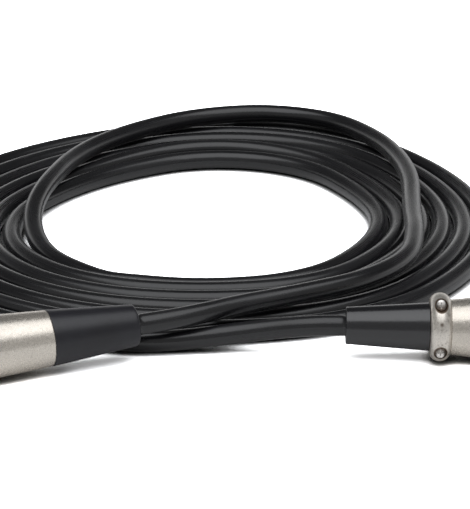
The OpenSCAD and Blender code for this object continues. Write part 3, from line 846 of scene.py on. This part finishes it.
class CABLE_OT_stage(bpy.types.Operator):
    """Makes the floor, the soft light, the room and the camera"""

    bl_idname = "cable.stage"
    bl_label = "Add Stage"
    bl_options = {"REGISTER", "UNDO"}

    def execute(self, context):
        scene = context.scene
        s = scene.cable_stage
        scene.view_settings.view_transform = "Standard"
        self.floor(s)
        self.room(scene, s)
        self.light(scene, s)
        self.camera(scene, s)
        return {"FINISHED"}

    def floor(self, s):
        """White floor that takes shadows and looks lighter than the light it sends back.

        Its colour is the floor's own, times one gain for a camera and another for gloss and
        clear pieces. Near contacts a painted contact shadow darkens it: the camera's gain falls
        with the share of open room round a point, once for each row of PAINTED_CONTACT_SHADOWS.
        """
        corners = np.array([[-1, -1, 0], [1, -1, 0], [1, 1, 0], [-1, 1, 0]], float)
        floor = mesh_object("studio_floor", corners * s.floor_size / 2, [[0, 1, 2, 3]])
        material = bpy.data.materials.new("studio_floor")
        material.use_nodes = True
        n = Nodes(material.node_tree)
        n.tree.nodes.remove(n.tree.nodes["Principled BSDF"])
        path = n.add("LightPath").outputs
        gloss = n.math("MAXIMUM", path["Is Glossy Ray"], path["Is Transmission Ray"])
        gain = n.math("ADD", 1.0, n.math(
            "MAXIMUM", n.math("MULTIPLY", path["Is Camera Ray"], s.floor_gain - 1),
            n.math("MULTIPLY", gloss, s.floor_in_gloss - 1),
        ))
        unseen = n.math("SUBTRACT", 1.0, path["Is Camera Ray"])
        # Painted contact shadow: the floor's colour, as the camera sees it, darkens where little
        # room is open round a point
        for reach, closed_share, clear_share, darkest in PAINTED_CONTACT_SHADOWS:
            near = n.add("AmbientOcclusion")
            near.samples, near.inputs["Distance"].default_value = CONTACT_SAMPLES, reach
            painted_contact_shadow = n.remap(near.outputs["AO"], closed_share, clear_share, darkest, 1.0)
            gain = n.math("MULTIPLY", gain, n.math("MAXIMUM", painted_contact_shadow, unseen))
        diffuse = n.add("BsdfDiffuse")
        tone = n.add("VectorMath")
        tone.operation = "SCALE"
        tone.inputs[0].default_value = s.floor_colour
        n.feed(tone.inputs["Scale"], gain)
        n.feed(diffuse.inputs["Color"], tone.outputs["Vector"])
        n.feed(n.tree.nodes["Material Output"].inputs["Surface"], diffuse.outputs["BSDF"])
        wear(floor, material)

    def room(self, scene, s):
        """A grey room: even in front, darker behind, with a pale wall low down behind.

        The wall's share falls from 1 to 0 as the height of the direction goes over
        WALL_HEIGHTS, and the back takes over from the front as its depth goes over
        ROOM_DEPTHS.
        """
        scene.world = bpy.data.worlds.new("studio_room")
        scene.world.use_nodes = True
        n = Nodes(scene.world.node_tree)
        split = n.add("SeparateXYZ")
        n.feed(split.inputs["Vector"], n.add("TexCoord").outputs["Generated"])
        behind = n.remap(split.outputs["Z"], *WALL_HEIGHTS, s.room_edge, s.room_back)
        level = n.remap(split.outputs["Y"], *ROOM_DEPTHS, s.room_front, behind)
        background = n.tree.nodes["Background"]
        n.feed(background.inputs["Color"], (1, 1, 1, 1))
        n.feed(background.inputs["Strength"], level)

    def light(self, scene, s):
        """A flat light that faces down; its brightness is its level, whatever its size."""
        data = bpy.data.lights.new("key_overhead", "AREA")
        data.shape = "RECTANGLE"
        data.size, data.size_y = KEY_SIZE
        data.energy = s.key_level * math.pi * KEY_SIZE[0] * KEY_SIZE[1]
        data.color = s.key_colour
        light = bpy.data.objects.new("key_overhead", data)
        scene.collection.objects.link(light)
        light.location = KEY_PLACE

    def camera(self, scene, s):
        """The camera looks at CAMERA_TARGET from its elevation over the front."""
        data = bpy.data.cameras.new("camera")
        data.sensor_width = SENSOR_WIDTH
        data.lens = s.focal_pixels * SENSOR_WIDTH / max(IMAGE_SIZE)
        data.clip_start, data.clip_end = CLIP_RANGE
        camera = bpy.data.objects.new("camera", data)
        scene.collection.objects.link(camera)
        back = np.array([0, -math.cos(s.elevation), math.sin(s.elevation)])
        camera.location = np.array(CAMERA_TARGET) * MM + back * s.distance
        camera.rotation_euler = (math.pi / 2 - s.elevation, 0, 0)
        scene.camera = camera


class CABLE_OT_jacket(bpy.types.Operator):
    """Lays the cable from the female boot, round the coil, to the male boot"""

    bl_idname = "cable.jacket"
    bl_label = "Add Cable"
    bl_options = {"REGISTER", "UNDO"}

    def execute(self, context):
        s = context.scene.cable_sizes
        looks = context.scene.cable_finishes
        line = cable_line(s.diameter / MM, s.lay_gap / MM)
        rings = even(line, s.step)
        jacket = tube_object("cable_jacket", rings, s.diameter / 2, s.sides)
        skin = jacket_skin("jacket_pvc", tuple(looks.jacket), looks.jacket_roughness)
        wear(jacket, skin.material)
        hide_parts("cable_coil", "cable_lead_female", "cable_lead_male")
        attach(jacket, "cable")
        return {"FINISHED"}


class CABLE_OT_boots(bpy.types.Operator):
    """Moulds the two boots that the cable comes out of"""

    bl_idname = "cable.boots"
    bl_label = "Add Boots"
    bl_options = {"REGISTER", "UNDO"}

    def execute(self, context):
        bore = JACKET_R + JACKET_FIT
        # The taper, the neck that the clamp holds, and the collar behind it
        male = turned("male_boot_moulding", MALE, eased(
            (0, bore, 0.2), (0, 5.55, 0.3), (MALE_BOOT_END, 7.2, 0.35), (MALE_BOOT_END, 4.7),
            (COLLAR_S, 4.7), (COLLAR_S, 6.2), (35.9, 6.2), (35.9, bore),
        ), SHELL_COLUMNS)
        stand_for(male, "male_boot", "male_boot", "male_boot")
        # The taper, the neck in the shell, and the cone that closes the chuck
        female = turned("female_boot_moulding", FEMALE, eased(
            (0, bore, 0.3), (0, 6.2, 1.0), (FEMALE_BOOT_END, 8.45, 0.25),
            (FEMALE_BOOT_END, 6.95), (33.6, 6.95, 0.05), (31.1, 4.25), (31.1, bore, 0.1),
        ), SHELL_COLUMNS)
        stand_for(female, "female_boot", "female_boot", "female_boot")
        return {"FINISHED"}


class CABLE_OT_shells(bpy.types.Operator):
    """Turns the two nickel shells and cuts their windows, screw holes and hook pocket"""

    bl_idname = "cable.shells"
    bl_label = "Add Shells"
    bl_options = {"REGISTER", "UNDO"}

    def execute(self, context):
        # Both outlines go forward along the outside and come back along the bore
        male = turned("male_shell_wall", MALE, eased(
            (30.9, 6.95, 0.15), (30.9, 8.15, 0.25), (42.3, SHELL_R, 4.0),
            (MALE_LEN, SHELL_R, 0.5), (MALE_LEN, MALE_BORE_R, 0.2), (45.9, MALE_BORE_R, 0.3),
            (34.4, 6.95, 0.3),
        ), SHELL_COLUMNS)
        # Out of it come the insert's screw hole and the pocket for a socket's hook
        combine(
            male, "DIFFERENCE",
            rod(MALE.at((MALE_SCREW_S, 11, 0), "-y"), 5, SCREW_HOLE_R),
            block(MALE, (64.5, 68.3), (-2.05, 2.05), (6, 9.0)),
        )
        stand_for(soften(male, 0.12), "nickel", "nickel", "male_shell")
        female = turned("female_shell_wall", FEMALE, eased(
            (FEMALE_BOOT_END, 7.0, 0.2), (FEMALE_BOOT_END, 8.2, 0.05), (27.0, 8.35, 0.08),
            (47.7, SHELL_R, 5.0), (SHOULDER_S, SHELL_R, 0.5), (SHOULDER_S, NOSE_R, 0.1),
            (FEMALE_LEN, NOSE_R, 0.35), (FEMALE_LEN, NOSE_BORE_R, 0.2),
            (71.0, NOSE_BORE_R, 0.1), (71.0, 8.25, 0.1), (53.2, 8.25, 0.4), (34.7, 7.0, 0.4),
        ), SHELL_COLUMNS)
        # Out of it come the windows of the button and the hook, and the insert's screw hole
        combine(
            female, "DIFFERENCE",
            block(FEMALE, (BUTTON_WINDOW_S, 71.1), BUTTON_SLOT, (5, 12)),
            block(FEMALE, (79.8, 83.6), HOOK_SLOT, (5.5, 12)),
            rod(FEMALE.at((FEMALE_SCREW_S, -11, 0), "y"), 5, SCREW_HOLE_R),
        )
        stand_for(soften(female, 0.15), "nickel", "nickel", "female_shell")
        return {"FINISHED"}


class CABLE_OT_clamp(bpy.types.Operator):
    """Turns the clamp's round bead and splits it into its ring and its saddle"""

    bl_idname = "cable.clamp"
    bl_label = "Add Clamp"
    bl_options = {"REGISTER", "UNDO"}

    def execute(self, context):
        # The bead is an arc of radius (half width squared + crown squared) / (2 crown)
        half = CLAMP_WIDTH / 2
        arc_r = (half ** 2 + CLAMP_CROWN ** 2) / (2 * CLAMP_CROWN)
        turn = np.linspace(-1, 1, 25)[:, None] * math.asin((half - 0.25) / arc_r)
        crown = np.hstack([
            CLAMP_S + arc_r * np.sin(turn), CLAMP_R - arc_r * (1 - np.cos(turn)), 0 * turn
        ])
        edge_r = CLAMP_R - CLAMP_CROWN
        first, last = CLAMP_S - half, CLAMP_S + half
        outline = eased(
            (first, CLAMP_BORE_R), (first, edge_r, 0.3), *crown, (last, edge_r, 0.3),
            (last, 6.9), (COLLAR_S, 6.9), (COLLAR_S, CLAMP_BORE_R),
        )
        # The halves part at 0.4 mm either side of the axis
        far, part = 2 * CLAMP_R, 0.4
        along, up = (20, 40), (-far, far)
        holes = [CLAMP.at((CLAMP_S, 0, w), "-y") for w in (-CLAMP_SCREW_W, CLAMP_SCREW_W)]
        ring = turned("clamp_ring", CLAMP, outline, SHELL_COLUMNS)
        combine(
            ring, "DIFFERENCE", block(CLAMP, along, (-far, part), up),
            *(rod(hole.at((-5.5, 0, 0)), 6, SCREW_HOLE_R) for hole in holes),
        )
        stand_for(soften(ring, 0.2), "clamp", "nickel", "male_clamp_ring")
        saddle = turned("clamp_saddle", CLAMP, outline, SHELL_COLUMNS)
        combine(
            saddle, "DIFFERENCE", block(CLAMP, along, (-part, far), up),
            *(rod(hole.at((-1, 0, 0)), 12, SHANK_BORE_R) for hole in holes),
            *(rod(hole.at((4, 0, 0)), 12, RECESS_R) for hole in holes),
            rod(CLAMP.at((CLAMP_S, -CLAMP_R + DENT_FLOOR, DENT_W), "-y"), 2, DENT_R),
        )
        stand_for(soften(saddle, 0.2), "clamp", "nickel", "male_clamp_saddle")
        return {"FINISHED"}


class CABLE_OT_screws(bpy.types.Operator):
    """Turns the clamp's two screws and the screw of each insert, with their slots"""

    bl_idname = "cable.screws"
    bl_label = "Add Screws"
    bl_options = {"REGISTER", "UNDO"}

    def execute(self, context):
        # A head is domed by HEAD_DOME: its height falls with the radius squared
        out = np.linspace(1, 0, 9)[1:-1, None]
        dome = np.hstack([HEAD_TOP - HEAD_DOME * out ** 2, HEAD_R * out, 0 * out])
        # Its two slots cross, each from its floor to above the head
        deep, across, thin = (5.1, 7), (-1, 1), (-0.2, 0.2)
        made = []
        for w in (-CLAMP_SCREW_W, CLAMP_SCREW_W):
            place = CLAMP.at((CLAMP_S, 0, w), "-y")
            screw = turned("clamp_screw", place, eased(
                (-5, 0, 0), (-5, SCREW_R, 0.2), (4, SCREW_R, 0.05), (4, HEAD_R, 0.05),
                (HEAD_TOP - HEAD_DOME, HEAD_R, 0.12), *dome, (HEAD_TOP, 0, 0),
            ), SMALL_COLUMNS)
            made.append(combine(
                screw, "DIFFERENCE", block(place, deep, across, thin),
                block(place, deep, thin, across),
            ))
        clamp_screws = combine(made[0], "UNION", made[1])
        clamp_screws.name = "clamp_screws"
        stand_for(soften(clamp_screws, 0.06), "screw", "steel", "male_clamp_screws")
        for end, place in (
            ("male", MALE.at((MALE_SCREW_S, SHELL_R - 0.4, 0), "-y")),
            ("female", FEMALE.at((FEMALE_SCREW_S, 0.4 - SHELL_R, 0), "y")),
        ):
            screw = turned(f"{end}_insert_fixing", place, eased(
                (0, 0, 0), (0, SCREW_R, 0.15), (3.4, SCREW_R, 0.15), (3.4, 0, 0)
            ), SMALL_COLUMNS)
            combine(screw, "DIFFERENCE", block(place, (-1, 0.7), (-0.25, 0.25), (-2, 2)))
            stand_for(soften(screw, 0.06), "screw", "steel", f"{end}_insert_screw")
        return {"FINISHED"}


class CABLE_OT_inserts(bpy.types.Operator):
    """Moulds the two inserts with their contact holes, slots and pockets"""

    bl_idname = "cable.inserts"
    bl_label = "Add Inserts"
    bl_options = {"REGISTER", "UNDO"}

    def execute(self, context):
        back, front = MALE_INSERT
        male = turned("male_insert_body", MALE, eased(
            (back, 0, 0), (back, 8.15, 0.2), (front, 8.15, 0.2), (front, 0, 0)
        ), INSERT_COLUMNS)
        combine(
            male, "DIFFERENCE",
            *(rod(MALE.at((49, *c)), 12, CONTACT_R) for c in CONTACT_PLACES),
            rod(MALE.at((MALE_SCREW_S, 11, 0), "-y"), 6.2, SCREW_HOLE_R),
        )
        stand_for(soften(male, 0.12), "insert", "insert_black", "male_insert")

        female = turned("female_insert_body", FEMALE, eased(
            (59.2, 0, 0), (59.2, 8.2, 0.2), (71.0, 8.2), (71.0, 7.0), (86.8, 7.0, 0.2),
            (86.8, 0, 0),
        ), INSERT_COLUMNS)
        # A contact's hole: wide where the contact sits, then a lip with a cone for the pin
        hole = np.array([
            (58, 0), (58, 1.6), (86.4, 1.6), (86.4, 1.27), (86.9, 1.62), (86.9, 0)
        ])
        # The slot and the flat that the latch moves in, its spring, its pivot and the screw
        combine(
            female, "DIFFERENCE",
            *(turned("hole", FEMALE.at((0, *c)), hole, ROD_COLUMNS) for c in CONTACT_PLACES),
            block(FEMALE, (58, 85.1), HOOK_SLOT, (LATCH_SLOT_Z, 10)),
            block(FEMALE, (BUTTON_WINDOW_S, 90), BUTTON_SLOT, (5.45, 10)),
            rod(FEMALE.at((SPRING_S, 0, 1), "z"), 9, 1.45),
            rod(FEMALE.at((PIVOT_S, -4.05, PIVOT_Z), "y"), 8.1, 0.775),
            rod(FEMALE.at((FEMALE_SCREW_S, -11, 0), "y"), 6.15, SCREW_HOLE_R),
        )
        stand_for(soften(female, 0.1), "insert", "insert_black", "female_insert")
        return {"FINISHED"}


class CABLE_OT_contacts(bpy.types.Operator):
    """Turns the three pins and the three sockets with their open solder cups"""

    bl_idname = "cable.contacts"
    bl_label = "Add Contacts"
    bl_options = {"REGISTER", "UNDO"}

    def execute(self, context):
        # The tip of a pin is a quarter circle of the pin's own radius
        turn = np.linspace(0, 1, 9)[:-1, None] * np.pi / 2
        tip = np.hstack([
            PIN_TIP_S - PIN_R + PIN_R * np.sin(turn), PIN_R * np.cos(turn), 0 * turn
        ])
        # Both outlines go from the solder cup's rim forward, and end in the cup's own bore
        back, front = MALE_INSERT
        pin_line = eased(
            (PIN_CUP_S, CUP_BORE_R, 0.05), (PIN_CUP_S, CONTACT_R, 0.1), (back, CONTACT_R, 0.02),
            (back, PIN_SEAT_R, 0.02), (front, PIN_SEAT_R, 0.1), (front, PIN_R, 0.05), *tip,
            (PIN_TIP_S, 0, 0), (48.4, 0, 0), (48.4, CUP_BORE_R, 0.05),
        )
        socket_line = eased(
            (SOCKET_CUP_S, CUP_BORE_R, 0.05), (SOCKET_CUP_S, CONTACT_R, 0.1),
            (86.4, CONTACT_R, 0.1), (86.4, SOCKET_BORE_R, 0.05), (72.2, SOCKET_BORE_R, 0.05),
            (72.2, 0, 0), (57.7, 0, 0), (57.7, CUP_BORE_R, 0.05),
        )
        for end, kind, base, line, cup_s in (
            ("male", "pin", MALE, pin_line, PIN_CUP_S),
            ("female", "socket", FEMALE, socket_line, SOCKET_CUP_S),
        ):
            for i, (angle, centre) in enumerate(zip(CONTACT_ANGLES, CONTACT_PLACES), 1):
                place = base.at((0, *centre), roll=angle)
                contact = turned(f"{end}_contact_{i}", place, line, SMALL_COLUMNS)
                # The cup is open on its outer side
                combine(contact, "DIFFERENCE", block(
                    place, (cup_s - 1, cup_s + 3.5), (0.8525, 2.5), (-2, 2)
                ))
                stand_for(soften(contact, 0.06), "contact", "contacts", f"{end}_{kind}_{i}")
        return {"FINISHED"}


class CABLE_OT_latch(bpy.types.Operator):
    """Makes the push latch: lever, pivot eye, hook and the button in the shell's window"""

    bl_idname = "cable.latch"
    bl_label = "Add Latch"
    bl_options = {"REGISTER", "UNDO"}

    def execute(self, context):
        half = LATCH_WIDTH / 2
        lever = block(FEMALE, (PIVOT_S, 84.7), (-half, half), (4.95, 6.35))
        lever.name = "latch_lever"
        hook = prism(FEMALE, [
            (80.2, 5.2), (80.2, 8.75), (81.4, 8.75), (83.2, 7.55), (83.2, 5.2)
        ], -half, half)
        eye = rod(FEMALE.at((PIVOT_S, -half, PIVOT_Z), "y"), LATCH_WIDTH, 1.7)
        # The button's top follows the round of the shell
        button = combine(
            block(FEMALE, (63.3, 70.7), (-3.5, 3.5), (6.34, 11)), "INTERSECT",
            rod(FEMALE.at((60, 0, 0)), 14, BUTTON_TOP, SHELL_COLUMNS),
        )
        grooves = [
            rod(FEMALE.at((s, -3.0, BUTTON_TOP + 0.25), "y"), 6.0, 0.5, GROOVE_COLUMNS)
            for s in (65.2, 66.6, 68.0)
        ]
        combine(button, "DIFFERENCE", *grooves)
        combine(lever, "UNION", hook, eye, button)
        combine(lever, "DIFFERENCE", rod(FEMALE.at((PIVOT_S, -3, PIVOT_Z), "y"), 6, 0.8))
        stand_for(soften(lever, 0.2), "nickel", "nickel", "female_latch", body="latch")
        return {"FINISHED"}


class CABLE_OT_inner_parts(bpy.types.Operator):
    """Gives the cores, the cable's ends, the chuck, the spring and the pivot their finishes"""

    bl_idname = "cable.inner_parts"
    bl_label = "Finish Inner Parts"
    bl_options = {"REGISTER", "UNDO"}

    def execute(self, context):
        for name, kind in NODE_KINDS.items():
            wear(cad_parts[name], finish_for(kind))
        return {"FINISHED"}


class CABLE_PT_panel(bpy.types.Panel):
    """Lists the sizes, the finishes and the steps of the build"""

    bl_idname = "CABLE_PT_panel"
    bl_label = "Coiled Cable"
    bl_space_type = "VIEW_3D"
    bl_region_type = "UI"
    bl_category = "Cable"

    def draw(self, context):
        layout = self.layout
        for group in ("cable_sizes", "cable_stage", "cable_finishes"):
            settings = getattr(context.scene, group)
            box = layout.box()
            for key in settings.__annotations__:
                box.prop(settings, key)
        for step in STEPS:
            layout.operator(step.bl_idname)


STEPS = (
    CABLE_OT_stage, CABLE_OT_jacket, CABLE_OT_boots, CABLE_OT_shells, CABLE_OT_clamp,
    CABLE_OT_screws, CABLE_OT_inserts, CABLE_OT_contacts, CABLE_OT_latch, CABLE_OT_inner_parts,
)
CLASSES = (CableSizes, StageSizes, Finishes, *STEPS, CABLE_PT_panel)


def register():
    for made in CLASSES:
        bpy.utils.register_class(made)
    bpy.types.Scene.cable_sizes = PointerProperty(type=CableSizes)
    bpy.types.Scene.cable_stage = PointerProperty(type=StageSizes)
    bpy.types.Scene.cable_finishes = PointerProperty(type=Finishes)


def unregister():
    for key in ("cable_finishes", "cable_stage", "cable_sizes"):
        delattr(bpy.types.Scene, key)
    for made in reversed(CLASSES):
        bpy.utils.unregister_class(made)


def main():
    register()
    bpy.ops.cable.stage()
    bpy.ops.cable.jacket()
    bpy.ops.cable.boots()
    bpy.ops.cable.shells()
    bpy.ops.cable.clamp()
    bpy.ops.cable.screws()
    bpy.ops.cable.inserts()
    bpy.ops.cable.contacts()
    bpy.ops.cable.latch()
    bpy.ops.cable.inner_parts()


if __name__ == "__main__":
    main()
